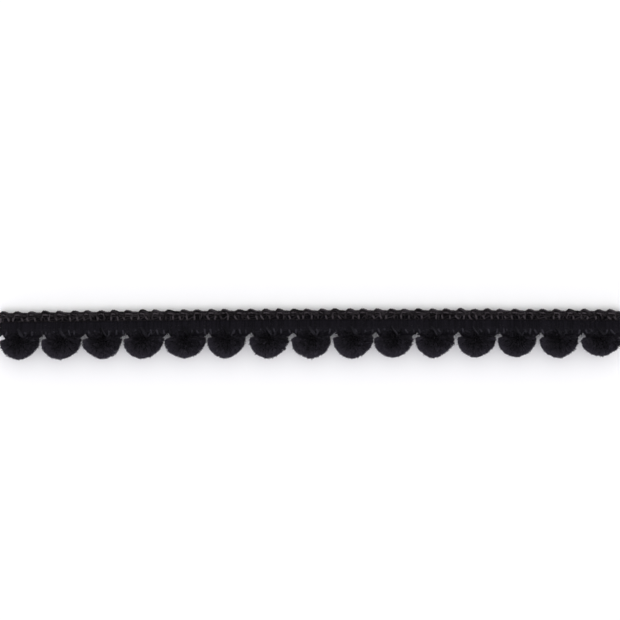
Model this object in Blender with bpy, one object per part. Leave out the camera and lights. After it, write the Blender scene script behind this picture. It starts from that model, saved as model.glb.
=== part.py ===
"""Pompom fringe trim, lying face up on a level surface.

A crocheted header braid has a scalloped upper edge and fifteen pompoms tied along its lower edge.
Units are metres. +X runs along the trim, +Y across it to the scalloped edge, and +Z is up.
"""

from collections import namedtuple
import math

import bmesh
import bpy
from mathutils import Euler, Vector
import numpy as np

MM = 0.001

# Driving sizes of the trim
POMPOM_PITCH = 10.5 * MM
SCALLOPS_A_POMPOM = 3
STITCHES_A_SCALLOP = 2
CLEARANCE = 0.3 * MM

# The trim lies in a shallow bow, highest in the picture at its crest.
BOW_RADIUS = 6.6
BOW_CREST = 22 * MM

# Header braid, measured across from the line on which the pompoms hang
SCALLOP_VALLEY = 5.9 * MM
SCALLOP_RISE = 0.45 * MM
SCALLOP_PEAK = 0.3
LOWER_EDGE = -0.05 * MM
LEVEL_FROM = 3.8 * MM
EDGE_LIFT = 1.7 * MM
LIFT_RUN = 4.5 * MM
EDGE_ROLL = 0.4 * MM
COLUMNS_A_SCALLOP = 6

# The slanting tie over each pompom's middle, and the dip that it pulls into the lower edge
TIE_TOP = Vector((-0.8 * MM, 1.85 * MM))
TIE_FOOT = Vector((1.0 * MM, -0.65 * MM))
TIE_LIFT = 0.3 * MM
TIE_REACH = 0.5 * MM
DIP_DEPTH = 0.7 * MM
DIP_PLACE = 0.7 * MM
DIP_REACH = 1.3 * MM

# Rows of the braid's front, from the lower edge up. across and thickness are in millimetres, waves are
# counted for each scallop, lift is in millimetres and lag is a share of one wave.
FrontRow = namedtuple("FrontRow", "across thickness waves lift lag")
FRONT_ROWS = (
    FrontRow(0.30, 1.25, STITCHES_A_SCALLOP, 0.20, 0.00),
    FrontRow(0.90, 1.50, STITCHES_A_SCALLOP, 0.26, 0.33),
    FrontRow(1.45, 1.40, STITCHES_A_SCALLOP, 0.20, 0.67),
    FrontRow(1.85, 1.00, 1, 0.00, 0.00),
    FrontRow(2.60, 1.25, 1, 0.03, 0.50),
    FrontRow(3.25, 1.15, 1, 0.00, 0.00),
    FrontRow(3.75, 1.70, STITCHES_A_SCALLOP, 0.20, 0.00),
    FrontRow(4.35, 1.75, STITCHES_A_SCALLOP, 0.20, 0.50),
    FrontRow(4.95, 1.55, 1, 0.10, 0.70),
)
ARCH_ROW = FrontRow(0.0, 1.85, 1, 0.20, SCALLOP_PEAK)
LOOP_ROWS = FRONT_ROWS[:3]
UNDERSIDE_ROWS = (3.8, 2.3, 0.9)

# Pompoms from left to right: how far the middle is off the even pitch, the width, and how far the lowest
# tips hang below the line of the pompoms, all in millimetres, and the seed that turns the tuft.
Pompom = namedtuple("Pompom", "offset width drop turn")
POMPOMS = (
    Pompom(0.00, 10.0, 5.70, 4),
    Pompom(-0.10, 10.1, 5.80, 5),
    Pompom(-0.08, 10.0, 5.70, 6),
    Pompom(-0.25, 9.9, 5.87, 7),
    Pompom(-0.05, 10.1, 5.91, 8),
    Pompom(-0.25, 9.7, 5.94, 9),
    Pompom(-0.08, 9.9, 6.00, 10),
    Pompom(0.23, 9.9, 6.07, 13),
    Pompom(0.30, 10.1, 6.10, 14),
    Pompom(0.00, 9.5, 5.96, 15),
    Pompom(-0.05, 9.9, 5.82, 16),
    Pompom(-0.10, 9.6, 5.74, 17),
    Pompom(-0.20, 9.6, 5.75, 18),
    Pompom(-0.23, 9.6, 5.84, 19),
    Pompom(0.02, 9.9, 5.40, 20),
)
POMPOM_CENTRE = -1.8 * MM
POMPOM_RISE = 3.3 * MM
POMPOM_TOP = 7.0 * MM
POMPOM_MIDDLE_HEIGHT = 3.3 * MM
POMPOM_UNDER = 4.0 * MM
POMPOM_TAPER = 0.1
ROOT_REACH = 0.72
TIP_REACH = 0.96
TIP_INSET = 0.17
LOCK_LEAN = 0.02
LOCK_UNEVENNESS = 0.05

# Room kept free round the braid where it enters a pompom
ROOM_STEPS_A_POMPOM = 10
ROOM_OVER = max(row.thickness + row.lift for row in LOOP_ROWS) * MM + TIE_LIFT + CLEARANCE
ROOM_UNDER = CLEARANCE + 0.1 * MM
ROOM_BELOW_EDGE = CLEARANCE + 0.1 * MM
FRONT_LOBE_TOP = 1.6 * MM
BACK_LOBE_TOP = 0.3 * MM
LOBE_FULL_AT = -0.6 * MM
LOBE_ENDS_AT = 1.0 * MM

LENGTH = len(POMPOMS) * POMPOM_PITCH
SCALLOP_LENGTH = POMPOM_PITCH / SCALLOPS_A_POMPOM


def clear_scene():
    """Removes whatever the scene holds."""
    for item in list(bpy.data.objects):
        bpy.data.objects.remove(item, do_unlink=True)


def bow(x):
    """How far the trim's line lies from the straight at x."""
    return -((x - BOW_CREST) ** 2) / (2 * BOW_RADIUS)


def pompom_middle(number):
    """x of a pompom's middle, counted from 0 at the left."""
    even = (number + 0.5) * POMPOM_PITCH - LENGTH / 2
    return even + POMPOMS[number].offset * MM


def from_pompom(x):
    """x measured from the middle of the pompom whose stretch of the braid holds it."""
    number = int((x + LENGTH / 2) / POMPOM_PITCH)
    return x - pompom_middle(min(max(number, 0), len(POMPOMS) - 1))


def smooth_step(share):
    """0 to 1 with level ends, for a share held between 0 and 1."""
    share = min(max(share, 0.0), 1.0)
    return share * share * (3 - 2 * share)


def underside(across):
    """Height of the braid's back: level under the scalloped half, lifted towards the pompoms."""
    return EDGE_LIFT * smooth_step((LEVEL_FROM - across) / LIFT_RUN)


def scalloped_edge(x):
    """The upper edge: each scallop rises steeply on its left and falls gently on its right."""
    phase = ((x + LENGTH / 2) / SCALLOP_LENGTH) % 1.0
    if phase < SCALLOP_PEAK:
        height = math.sin(phase / SCALLOP_PEAK * math.pi / 2)
    else:
        height = math.cos((phase - SCALLOP_PEAK) / (1 - SCALLOP_PEAK) * math.pi / 2)
    return SCALLOP_VALLEY + SCALLOP_RISE * height


def lower_edge(x):
    """The lower edge, pulled down where the tie goes round each pompom's middle."""
    distance = (from_pompom(x) - DIP_PLACE) / DIP_REACH
    return LOWER_EDGE - DIP_DEPTH * math.exp(-distance * distance)


def tie_lift(x, across):
    """How far the slanting tie raises the braid's front at a point."""
    point = Vector((from_pompom(x), across))
    along = TIE_FOOT - TIE_TOP
    share = min(max((point - TIE_TOP).dot(along) / along.length_squared, 0.0), 1.0)
    distance = (point - TIE_TOP - along * share).length / TIE_REACH
    return TIE_LIFT * math.exp(-distance * distance)


def front_height(x, across, row):
    """Height of the front, with the raised stitches of its row."""
    turns = row.waves * (x + LENGTH / 2) / SCALLOP_LENGTH - row.lag
    stitch = row.lift * MM * math.cos(2 * math.pi * turns)
    return underside(across) + row.thickness * MM + stitch + tie_lift(x, across)


def header_section(x):
    """(across, height) of the points round the braid at x: up the front, then down the back."""
    low = lower_edge(x)
    high = scalloped_edge(x)
    points = [(low, underside(low) + FRONT_ROWS[0].thickness * MM / 2)]
    for row in FRONT_ROWS:
        across = low + row.across * MM if row is FRONT_ROWS[0] else row.across * MM
        points.append((across, front_height(x, across, row)))
    arch = high - EDGE_ROLL
    points.append((arch, front_height(x, arch, ARCH_ROW)))
    points.append((high, ARCH_ROW.thickness * MM / 2))
    points.append((high - EDGE_ROLL, 0.0))
    for across in UNDERSIDE_ROWS:
        points.append((across * MM, underside(across * MM)))
    return points


def room_section(x):
    """(across, height) of the points round the space that the pompoms leave to the braid at x."""
    low = lower_edge(x) - ROOM_BELOW_EDGE
    lobe = smooth_step((LOBE_ENDS_AT - from_pompom(x)) / (LOBE_ENDS_AT - LOBE_FULL_AT))
    front = low + lobe * (FRONT_LOBE_TOP - low)
    far = LEVEL_FROM
    above = POMPOM_TOP + MM
    return [
        (far, above),
        (front, above),
        (front, underside(front) + ROOM_OVER + (1 - lobe) * MM),
        (low, underside(low) + ROOM_OVER),
        (low, underside(low) - ROOM_UNDER),
        (BACK_LOBE_TOP, underside(BACK_LOBE_TOP) - ROOM_UNDER),
        (BACK_LOBE_TOP, -MM),
        (far, -MM),
    ]


def strip_mesh(name, section, stations):
    """A closed strip through the sections at the given x stations."""
    strip = bmesh.new()
    rings = []
    for x in stations:
        ring = [strip.verts.new((x, across + bow(x), height)) for across, height in section(x)]
        rings.append(ring)
    for near, far in zip(rings, rings[1:]):
        for place in range(len(near)):
            after = (place + 1) % len(near)
            strip.faces.new((near[place], near[after], far[after], far[place]))
    strip.faces.new(rings[0])
    strip.faces.new(rings[-1])
    bmesh.ops.recalc_face_normals(strip, faces=strip.faces)
    mesh = bpy.data.meshes.new(name)
    strip.to_mesh(mesh)
    strip.free()
    return mesh


def even_stations(count):
    """x of the ends of this many even steps along the trim."""
    return [step * LENGTH / count - LENGTH / 2 for step in range(count + 1)]


def unit_ball(chance):
    """Corners and faces of a randomly turned twenty-faced ball."""
    ball = bmesh.new()
    bmesh.ops.create_icosphere(ball, subdivisions=1, radius=1.0)
    turn = Euler(chance.uniform(0, 2 * math.pi, 3)).to_matrix()
    corners = [(turn @ vertex.co).normalized() for vertex in ball.verts]
    faces = [[vertex.index for vertex in face.verts] for face in ball.faces]
    ball.free()
    return corners, faces


def lock_points(corners, faces, chance):
    """Directions times reach of every point, and the faces of the locks over them."""
    points = [corner * ROOT_REACH for corner in corners]
    shared = {}
    patches = []
    for face in faces:
        root = []
        for place, corner in enumerate(face):
            after = face[(place + 1) % len(face)]
            edge = (min(corner, after), max(corner, after))
            if edge not in shared:
                shared[edge] = len(points)
                middle = (corners[corner] + corners[after]).normalized()
                points.append(middle * ROOT_REACH)
            root += [corner, shared[edge]]
        middle = sum((corners[corner] for corner in face), Vector()).normalized()
        lean = Vector(chance.uniform(-1, 1, 3)) * LOCK_LEAN
        reach = TIP_REACH * (1 - LOCK_UNEVENNESS * chance.uniform(0, 1))
        tip = []
        for corner in root:
            inset = points[corner].normalized().lerp(middle, TIP_INSET) + lean
            tip.append(len(points))
            points.append(inset.normalized() * reach)
        apex = len(points)
        points.append((middle + lean).normalized() * (reach / TIP_REACH))
        for place in range(len(root)):
            after = (place + 1) % len(root)
            patches.append((root[place], root[after], tip[after], tip[place]))
            patches.append((tip[place], tip[after], apex))
    return points, patches


def fit_pompom(points, pompom):
    """The points stretched to the pompom's width, drop and height, and set level on the surface."""
    spread = np.array(points)
    below = np.minimum(spread[:, 1], 0)
    narrowing = np.maximum(1 - below * below, 0.02) ** POMPOM_TAPER
    spread[:, 0] *= narrowing
    spread[:, 0] *= pompom.width * MM / 2 / np.abs(spread[:, 0]).max()
    drop = pompom.drop * MM + POMPOM_CENTRE
    down = drop / -spread[:, 1].min()
    spread[:, 1] *= np.where(spread[:, 1] < 0, down, POMPOM_RISE)
    up = (POMPOM_TOP - POMPOM_MIDDLE_HEIGHT) / spread[:, 2].max()
    spread[:, 2] *= np.where(spread[:, 2] < 0, POMPOM_UNDER, up)
    spread[:, 2] = np.maximum(spread[:, 2] + POMPOM_MIDDLE_HEIGHT, 0.0)
    return spread


def pompom_mesh(name, number):
    """One pompom: twenty locks on one core, fanning from its middle."""
    chance = np.random.default_rng(POMPOMS[number].turn)
    corners, faces = unit_ball(chance)
    points, patches = lock_points(corners, faces, chance)
    mesh = bpy.data.meshes.new(name)
    mesh.from_pydata(fit_pompom(points, POMPOMS[number]).tolist(), [], patches)
    tuft = bmesh.new()
    tuft.from_mesh(mesh)
    bmesh.ops.recalc_face_normals(tuft, faces=tuft.faces)
    tuft.to_mesh(mesh)
    tuft.free()
    return mesh


def yarn_material(name, colour, roughness):
    """A plain dyed yarn."""
    material = bpy.data.materials.new(name)
    material.use_nodes = True
    shader = material.node_tree.nodes["Principled BSDF"]
    shader.inputs["Base Color"].default_value = (*colour, 1.0)
    shader.inputs["Roughness"].default_value = roughness
    shader.inputs["Metallic"].default_value = 0.0
    return material


def add_object(name, mesh, parent, material=None):
    """An object in the scene, smooth except at its sharp edges."""
    item = bpy.data.objects.new(name, mesh)
    bpy.context.scene.collection.objects.link(item)
    item.parent = parent
    if material:
        mesh.materials.append(material)
        mesh.shade_smooth()
        mesh.set_sharp_from_angle(angle=math.radians(50))
    return item


def add_header(parent, material):
    """The header braid, with its scallops and stitches raised on the front."""
    scallops = len(POMPOMS) * SCALLOPS_A_POMPOM
    stations = even_stations(scallops * COLUMNS_A_SCALLOP)
    mesh = strip_mesh("header", header_section, stations)
    return add_object("header", mesh, parent, material)


def add_room(parent):
    """The space that the pompoms leave to the braid, used only to cut them."""
    stations = even_stations(len(POMPOMS) * ROOM_STEPS_A_POMPOM)
    mesh = strip_mesh("braid_room", room_section, stations)
    room = add_object("braid_room", mesh, parent)
    room.hide_render = True
    room.display_type = "WIRE"
    return room


def add_pompom(number, parent, material, room):
    """A pompom at its place along the trim, opened where the braid enters it."""
    name = f"pompom_{number + 1:02d}"
    pompom = add_object(name, pompom_mesh(name, number), parent, material)
    middle = pompom_middle(number)
    pompom.location = (middle, POMPOM_CENTRE + bow(middle), 0.0)
    cut = pompom.modifiers.new("braid_room", "BOOLEAN")
    cut.operation = "DIFFERENCE"
    cut.solver = "EXACT"
    cut.object = room
    return pompom


def main():
    clear_scene()
    trim = bpy.data.objects.new("pompom_fringe_trim", None)
    bpy.context.scene.collection.objects.link(trim)
    braid_yarn = yarn_material("braid_yarn", (0.019, 0.017, 0.019), 0.6)
    add_header(trim, braid_yarn)
    room = add_room(trim)
    for number in range(len(POMPOMS)):
        pile = yarn_material(f"pile_{number + 1:02d}", (0.008, 0.008, 0.010), 0.9)
        add_pompom(number, trim, pile, room)


main()
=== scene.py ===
"""Looks of the pompom fringe trim: crocheted braid, cut pile, floor, light and camera. Metres, +Z up."""

from collections import namedtuple
import math

import bpy
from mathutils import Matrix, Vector
import numpy as np


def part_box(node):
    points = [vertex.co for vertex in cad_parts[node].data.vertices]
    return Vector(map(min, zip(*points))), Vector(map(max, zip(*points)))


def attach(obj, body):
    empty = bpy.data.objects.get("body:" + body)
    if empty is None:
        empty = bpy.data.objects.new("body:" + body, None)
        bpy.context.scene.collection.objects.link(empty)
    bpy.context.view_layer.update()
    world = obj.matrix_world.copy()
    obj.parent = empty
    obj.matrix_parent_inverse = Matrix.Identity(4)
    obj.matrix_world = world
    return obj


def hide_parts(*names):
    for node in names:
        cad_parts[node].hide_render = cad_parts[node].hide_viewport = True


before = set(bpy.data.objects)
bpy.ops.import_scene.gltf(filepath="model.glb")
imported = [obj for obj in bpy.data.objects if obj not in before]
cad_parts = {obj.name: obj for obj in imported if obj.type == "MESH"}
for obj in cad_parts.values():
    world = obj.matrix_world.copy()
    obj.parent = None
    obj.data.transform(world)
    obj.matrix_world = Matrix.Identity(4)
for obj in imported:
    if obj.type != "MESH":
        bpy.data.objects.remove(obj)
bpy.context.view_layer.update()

MM = 0.001

Tuft = namedtuple("Tuft", "name middle half_width foot top")
Strands = namedtuple("Strands", "points faces yarn tone")
Looks = namedtuple("Looks", "dark light rough smooth gloss sheen relief")
StitchRow = namedtuple("StitchRow", "low high level phase uneven")
Yarn = namedtuple("Yarn", "offset radius dark light")

# Seeds of the random draws. The first pompom has its own, and each further one the next number.
POMPOM_SEED = 11
SCALLOP_SEED = 111
WEFT_SEED = 112
BACK_SEED = 113
BORDER_SEED = 114
EDGE_SEED = 115
HAIR_SEED = 116
CUT_END_SEED = 117

# Stitches and length of the trim, as the solids have them
POMPOM_COUNT = 15
POMPOM_PITCH = 10.5 * MM
SCALLOPS_A_POMPOM = 3
STITCHES_A_SCALLOP = 2
LENGTH = POMPOM_COUNT * POMPOM_PITCH
SCALLOPS = POMPOM_COUNT * SCALLOPS_A_POMPOM
SCALLOP_LENGTH = POMPOM_PITCH / SCALLOPS_A_POMPOM
STITCHES = SCALLOPS * STITCHES_A_SCALLOP
STITCH_LENGTH = SCALLOP_LENGTH / STITCHES_A_SCALLOP
BOW_RADIUS = 6.6
BOW_CREST = 22 * MM

# The braid's scalloped upper edge. Across the trim, zero is the line where the pompoms hang, and places
# along a scallop are shares of its length.
SCALLOP_VALLEY = 6.03 * MM
SCALLOP_RISE = 0.40 * MM
ARCH_STARTS = -0.02
ARCH_RISES_IN = 0.22
ARCH_FALLS_FROM = 0.34
ARCH_FALLS_IN = 0.34
ARCH_SHIFT_SPREAD = 0.05
ARCH_HEIGHT_SPREAD = 0.15

# The braid's lower edge, with a peak over each gap between pompoms, and its back
LOWER_EDGE = 0.57 * MM
LOWER_EDGE_PULL = 1.32 * MM
GAP_PEAK = -4.42 * MM
GAP_LEFT = 1.45 * MM
GAP_RIGHT = 0.90 * MM
LEVEL_FROM = 3.8 * MM
EDGE_LIFT = 1.7 * MM
LIFT_RUN = 4.5 * MM
BRAID_THICKNESS = 1.75 * MM

# A pompom's middle, across the trim and above the surface, and how its trimmed form fills out
PILE_MIDDLE = -1.42 * MM
PILE_HEIGHT = 3.3 * MM
PILE_RISE = 3.2 * MM
PILE_UNDER = 4.0 * MM
PILE_TAPER_BELOW = 0.10
PILE_TAPER_BELOW_RIGHT = 0.07
PILE_RIGHT = 0.985
PILE_TAPER_LEFT = 0.2
PILE_TAPER_RIGHT = -0.15
PILE_LEAST_LEVEL = 0.02
PILE_SKEW = -0.26 * MM
PILE_SKEW_RUN = 0.9
PILE_FULLNESS = 1.012
PILE_OWN_FORM = 0.016
RAGGED_RIGHT = 0.6

# The hollow where the tie goes into a pompom, and the notch at its left shoulder
TIE_POINT = np.array((0.2, -0.8, 2.8)) * MM
HOLLOW_TOWARDS = np.array((0.16, -0.04, 0.95))
HOLLOW_DEPTH = 0.26
HOLLOW_SPREAD = 0.42
NOTCH_TURN = 2.73
NOTCH_DEPTH = 0.24
NOTCH_SPREAD = 0.21

# How far the pile reaches over and behind the braid's lower edge
FRONT_LOBE_TOP = 0.7 * MM
BACK_LOBE_TOP = 0.5 * MM
LOBE_FULL_AT = -1.0 * MM
LOBE_ENDS_AT = 0.5 * MM
FRONT_OVERLAP = 0.1 * MM
OVERLAP_SPREAD = 0.25 * MM
FLOOR_CLEARANCE = 0.02 * MM

# Fibres of one pompom. Roots are shares of the way from the tie to the tip.
FIBRES = 6000
CLUMPS = 240
FIBRE_RADIUS = 0.064 * MM
FIBRE_THICKNESS = (0.75, 1.15)
FIBRE_NARROWS = 0.8
FIBRE_ROOT = 0.62
FIBRE_LEAST = 0.3
SHORT_ROOT = 0.1
SHORT_LEAST = 0.1
SHORT_EVERY = 3
CLEAR_STEPS = 19
CLEAR_STEP = 0.05
FIBRE_JITTER = 0.07 * MM
DIRECTION_JITTER = 0.35
CLUMP_PULL = 0.15
CLUMP_UNEVEN = 0.016
FIBRE_UNEVEN = 0.012
STRAY_SHARE = 0.03
STRAY_REACH = 0.06

# The inside of a pompom
CORE_ROWS = 14
CORE_COLUMNS = 28
CORE_REACH = 0.80
CORE_UNEVEN = 0.01
CORE_TOP_SHARE = 0.12
CORE_FOOT = 0.25 * MM

# Tones of the pile: least, then what the clumps and single fibres add, and the few thicker fibres with a
# painted glint
TONE_LEAST = 0.08
TONE_OF_CLUMPS = 0.7
TONE_OF_FIBRES = 0.4
PAINTED_GLINT_SHARE = 0.02
PAINTED_GLINT_TONE = 1.5
GLINT_FIBRE_THICKER = 0.5
# The cut ends are darker than the fibres' sides: painted shade of the pile where it is seen end-on
CUT_SHADE = 0.25
# Painted light at the fibres' tips: the least, on top and at the braid, then what the rims add, most low on
# the left and below
TIP_PAINTED_LIGHT = 0.55
RIM_PAINTED_LIGHT = 0.27
RIM_LIGHT_FROM = 0.97
RIM_LIGHT_RANGE = 0.35
RIM_LIGHT_MIDDLE = 0.19
RIM_LIGHT_LEFT = 0.35
RIM_LIGHT_BELOW = 1.2
RIM_LIGHT_MOST = 1.25

# Twist of the braid's yarns, and the least that they keep from the cut ends
YARN_TURNS_A_MM = 0.35
YARN_SIDES = 5
YARN_SHIFT = 7.3
PLY_TWIST = 1.15 * MM
CORD_STEP = 0.22 * MM
CORD_PATCHES = 120
END_MARGIN = 0.1 * MM

# Yarns of the braid. Offset is how far each of two plies lies from the yarn's middle, and is zero for a
# single ply. Dark and light are the ends of its range of tones.
WEFT_FLOAT_YARN = Yarn(0.0, 0.175 * MM, 0.2, 0.8)
BACK_FLOAT_YARN = Yarn(0.0, 0.25 * MM, 0.1, 0.6)
BACK_STITCH_YARN = Yarn(0.0, 0.15 * MM, 0.4, 0.9)
BAR_YARN = Yarn(0.12 * MM, 0.16 * MM, 0.1, 2.0)
RETURN_YARN = Yarn(0.0, 0.14 * MM, 0.0, 0.35)
BORDER_FOOT_CORD = Yarn(0.05 * MM, 0.10 * MM, 0.0, 0.2)
BORDER_MIDDLE_CORD = Yarn(0.10 * MM, 0.13 * MM, -0.2, 0.4)
BORDER_UPPER_CORD = Yarn(0.12 * MM, 0.15 * MM, 0.0, 2.2)
BORDER_RIM_CORD = Yarn(0.09 * MM, 0.14 * MM, 0.0, 0.5)
CROSSING_YARN = Yarn(0.0, 0.11 * MM, -0.1, 0.8)
OUTER_ARCH_YARN = Yarn(0.10 * MM, 0.13 * MM, -0.2, 1.5)
INNER_ARCH_YARN = Yarn(0.09 * MM, 0.12 * MM, -0.2, 0.5)
EDGE_HEAD_CORD = Yarn(0.05 * MM, 0.09 * MM, 0.0, 0.3)
EDGE_RIM_CORD = Yarn(0.12 * MM, 0.15 * MM, 0.1, 0.8)
TIE_YARN = Yarn(0.10 * MM, 0.13 * MM, -0.1, 0.75)
TIE_RETURN_YARN = Yarn(0.10 * MM, 0.12 * MM, -0.1, 0.75)
CUT_END_YARN = Yarn(0.0, 0.15 * MM, 0.2, 1.0)
HAIR = Yarn(0.0, 0.012 * MM, 0.2, 1.0)
GAP_HAIR = Yarn(0.0, 0.018 * MM, 0.4, 1.2)

# The braid's inner layer: how far inside the edges it ends, and its levels above the back
GROUND_STEP = 0.6 * MM
GROUND_POINTS = 13
GROUND_INSET_BELOW = 0.25 * MM
GROUND_INSET_ABOVE = 0.20 * MM
GROUND_FRONT = 0.85
GROUND_BACK = 0.18
GROUND_EDGE_FRONT = 0.6
GROUND_EDGE_BACK = 0.4

# A float of the middle band: place across the trim, the first counted from the lower edge, and level
# above the braid's back, in millimetres
FLOATS_A_STITCH = 6
WEFT_FLOAT = (
    (0.35, 1.22),
    (0.90, 1.14),
    (1.50, 1.04),
    (1.85, 1.12),
    (2.25, 0.98),
    (2.80, 1.12),
    (3.30, 1.08),
    (3.75, 0.92),
    (4.70, 0.82),
)
FLOAT_STATIONS = 12
FLOAT_LEAN = 0.02 * MM
FLOAT_LIFT = 0.015 * MM
# Painted light on the floats' lower ends, by the lower edge, where the pompoms shade the braid
WEFT_PAINTED_LIGHT = 0.4
WEFT_PAINTED_LIGHT_RUN = (1.6, -3.4)

# The back's floats, and the rows of stitches over them. In a stitch, place is a share of its length, and
# level is in millimetres.
BACK_FLOATS_A_STITCH = 3
BACK_FLOAT_KNOTS = 7
BACK_FLOAT_LEVEL = 0.25 * MM
BACK_FLOAT_SLANT = 0.22
BACK_FLOAT_LEAN = 0.03 * MM
BACK_INSET_BELOW = 0.3 * MM
BACK_INSET_ABOVE = 0.45 * MM
BACK_ROWS = (1.2 * MM, 3.9 * MM)
BACK_ROW_UNEVEN = 0.05 * MM
BACK_STITCH_STATIONS = 9
BACK_STITCH = (
    (0.12, 0.35),
    (0.30, 0.14),
    (0.50, 0.10),
    (0.70, 0.14),
    (0.88, 0.35),
)

# One stitch of a row. Place is a share of the stitch's length, height a share of the row's, from its
# lower side to its upper, and lift is in millimetres. The bar comes down and the return climbs back.
STITCH_BAR = (
    (0.23, 1.12, -0.45),
    (0.24, 0.98, -0.06),
    (0.27, 0.52, 0.12),
    (0.32, 0.05, -0.04),
    (0.36, -0.10, -0.45),
)
STITCH_RETURN = (
    (0.50, -0.08, -0.35),
    (0.60, 0.12, -0.08),
    (0.76, 0.50, -0.04),
    (0.92, 0.88, -0.08),
    (1.02, 1.08, -0.35),
)
BORDER_ROW = StitchRow(3.90 * MM, 4.60 * MM, 1.56 * MM, -0.16, 0.40)
EDGE_ROW = StitchRow(0.18 * MM, 1.12 * MM, 1.46 * MM, -0.42, 0.5)
STITCH_STATIONS = 13
UNEVEN_LEAN = 4.0
UNEVEN_SHIFT = 0.25
UNEVEN_STRETCH = 0.4
UNEVEN_LEVEL = 0.03 * MM
# How narrow the painted highlight is at each bar's crest
BAR_PAINTED_HIGHLIGHT_POWER = 2.2

# The cords along the border: place across the trim, level above the back, and yarn. The upper one, in
# millimetres, waves up and comes forward at each arch, with a painted highlight there and painted shade
# between.
BORDER_CORDS = (
    (3.72 * MM, 1.12 * MM, BORDER_FOOT_CORD),
    (4.82 * MM, 1.25 * MM, BORDER_MIDDLE_CORD),
)
UPPER_ACROSS = 5.34
UPPER_SWING = 0.12
UPPER_LEVEL = 1.38
UPPER_SWELL = 0.08
UPPER_PHASE = 0.23
UPPER_PAINTED_SHADE_LEAST = 0.2
RIM_CORD_INSET = 0.27 * MM
RIM_CORD_LEVELS = (0.94 * MM, 0.55 * MM)

# The arch of one scallop: place is a share of the scallop, below is how far under the edge, and level is
# above the back, both in millimetres. It comes out of the stitch row, rounds the edge and dives again.
ARCH = (
    (-0.03, 1.90, 0.95),
    (0.00, 1.25, 1.42),
    (0.05, 0.60, 1.60),
    (0.13, 0.20, 1.50),
    (0.30, 0.12, 1.30),
    (0.48, 0.13, 1.25),
    (0.66, 0.15, 1.25),
    (0.86, 0.16, 1.15),
    (1.00, 0.26, 1.00),
    (1.07, 0.70, 0.80),
)
ARCH_STATIONS = 24
ARCH_LEFT = 0.10
ARCH_UNEVEN = 0.06 * MM
ARCH_LEVEL_UNEVEN = 0.05 * MM
# Painted shade on each arch: darkest on the leg that climbs out of the stitch row, full tone from its top
# on
ARCH_PAINTED_SHADE_LEAST = 0.1
ARCH_PAINTED_SHADE_RUN = (-2.0, 4.0)
INNER_ARCH_INSET = 0.32 * MM
INNER_ARCH_WIDTH = 0.70

# The strands that cross the border's cords: phase and slant of each, as shares of the scallop
CROSSINGS = ((0.04, 0.08), (0.60, -0.08))
CROSSING_FOOT = 4.30
CROSSING_HEIGHT = 1.25
CROSSING_LEVEL = 1.45
CROSSING_SWELL = 0.16
CROSSING_UNEVEN = 0.08
CROSSING_KNOTS = 6
CROSSING_STATIONS = 11

# The cords over the edge stitches and along the lower edge
EDGE_HEAD_ACROSS = 1.62 * MM
EDGE_HEAD_LEVEL = 1.10 * MM
EDGE_CORD_INSET = 0.26 * MM
EDGE_CORD_LEVELS = (0.98 * MM, 0.48 * MM)

# The tie of one pompom: place along the trim and across it, and level above the braid's back, in
# millimetres. It slants down the front and goes round the edge into the pompom's hollow.
TIE = (
    (-0.62, 2.00, 0.85),
    (-0.42, 1.65, 1.50),
    (-0.12, 1.10, 1.85),
    (0.18, 0.60, 1.98),
    (0.42, 0.20, 1.98),
    (0.66, -0.10, 1.92),
    (0.90, -0.42, 1.75),
    (1.04, -0.75, 1.20),
    (1.05, -0.92, 0.50),
    (1.00, -0.92, -0.10),
)

# The tie's other arm, which comes back out of the hollow and climbs to the next stitch
TIE_RETURN = (
    (1.00, -0.92, 0.60),
    (1.02, -0.74, 1.25),
    (1.12, -0.44, 1.70),
    (1.34, -0.10, 1.84),
    (1.58, 0.28, 1.84),
    (1.82, 0.66, 1.72),
    (2.02, 1.02, 1.45),
    (2.16, 1.34, 0.95),
)

# The strands of every tie: shape, how far it lies beside the first, and yarn
TIE_STRANDS = (
    (TIE, 0.20 * MM, TIE_YARN),
    (TIE, -0.12 * MM, TIE_YARN),
    (TIE_RETURN, 0.0, TIE_RETURN_YARN),
)
TIE_STATIONS = 26
TIE_SIDES = 6
TIE_UNEVEN = 0.05 * MM
TIE_FAN = 0.35
# Painted light along each tie: a painted highlight on the lower part of the braid's front, painted shade
# above it and where it dives into the hollow
TIE_PAINTED_SHADE_TONE = 0.35
TIE_PAINTED_HIGHLIGHT = 0.75
TIE_HIGHLIGHT_WIDTH = 0.5
TIE_HIGHLIGHT_RUN = (-1.0, 1.2)

# The yarns' ends at both cut ends, in rows from back to front
END_ROWS = 4
END_COLUMNS = 24
END_COUNT = END_ROWS * END_COLUMNS
END_REACH = np.array((-0.6, 0.0)) * MM
END_CUT = (-0.05, 0.12)
END_PLACE_UNEVEN = 0.008
END_LEVEL_UNEVEN = 0.04 * MM
END_INSET_BELOW = 0.2 * MM
END_INSET_ABOVE = 0.25 * MM
END_SIDES = 7

# Loose fibres off the braid
HAIRS = 1100
HAIR_SIDES = 3
HAIR_LEVEL = 1.2 * MM
HAIR_INSET_BELOW = 0.3 * MM
HAIR_INSET_ABOVE = 0.5 * MM
HAIR_LENGTHS = (0.4, 1.0)
HAIR_BEND = 0.12 * MM

# Loose fibres across the gaps, in millimetres: the range of their roots from the left pompom's middle and
# above the surface, and the middle and spread of their place across the trim and of their reach
HAIRS_A_GAP = 10
GAP_HAIR_ROOTS = (4.6, 7.0)
GAP_HAIR_HEIGHTS = (2.0, 3.0)
GAP_HAIR_ACROSS = (0.05, 0.1)
GAP_HAIR_ALONG = (0.0, 0.7)
GAP_HAIR_DOWN = (-1.1, 0.4)
GAP_HAIR_UP = (0.0, 0.6)
GAP_HAIR_BEND = 0.15 * MM
GAP_HAIR_STATIONS = 6

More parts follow.
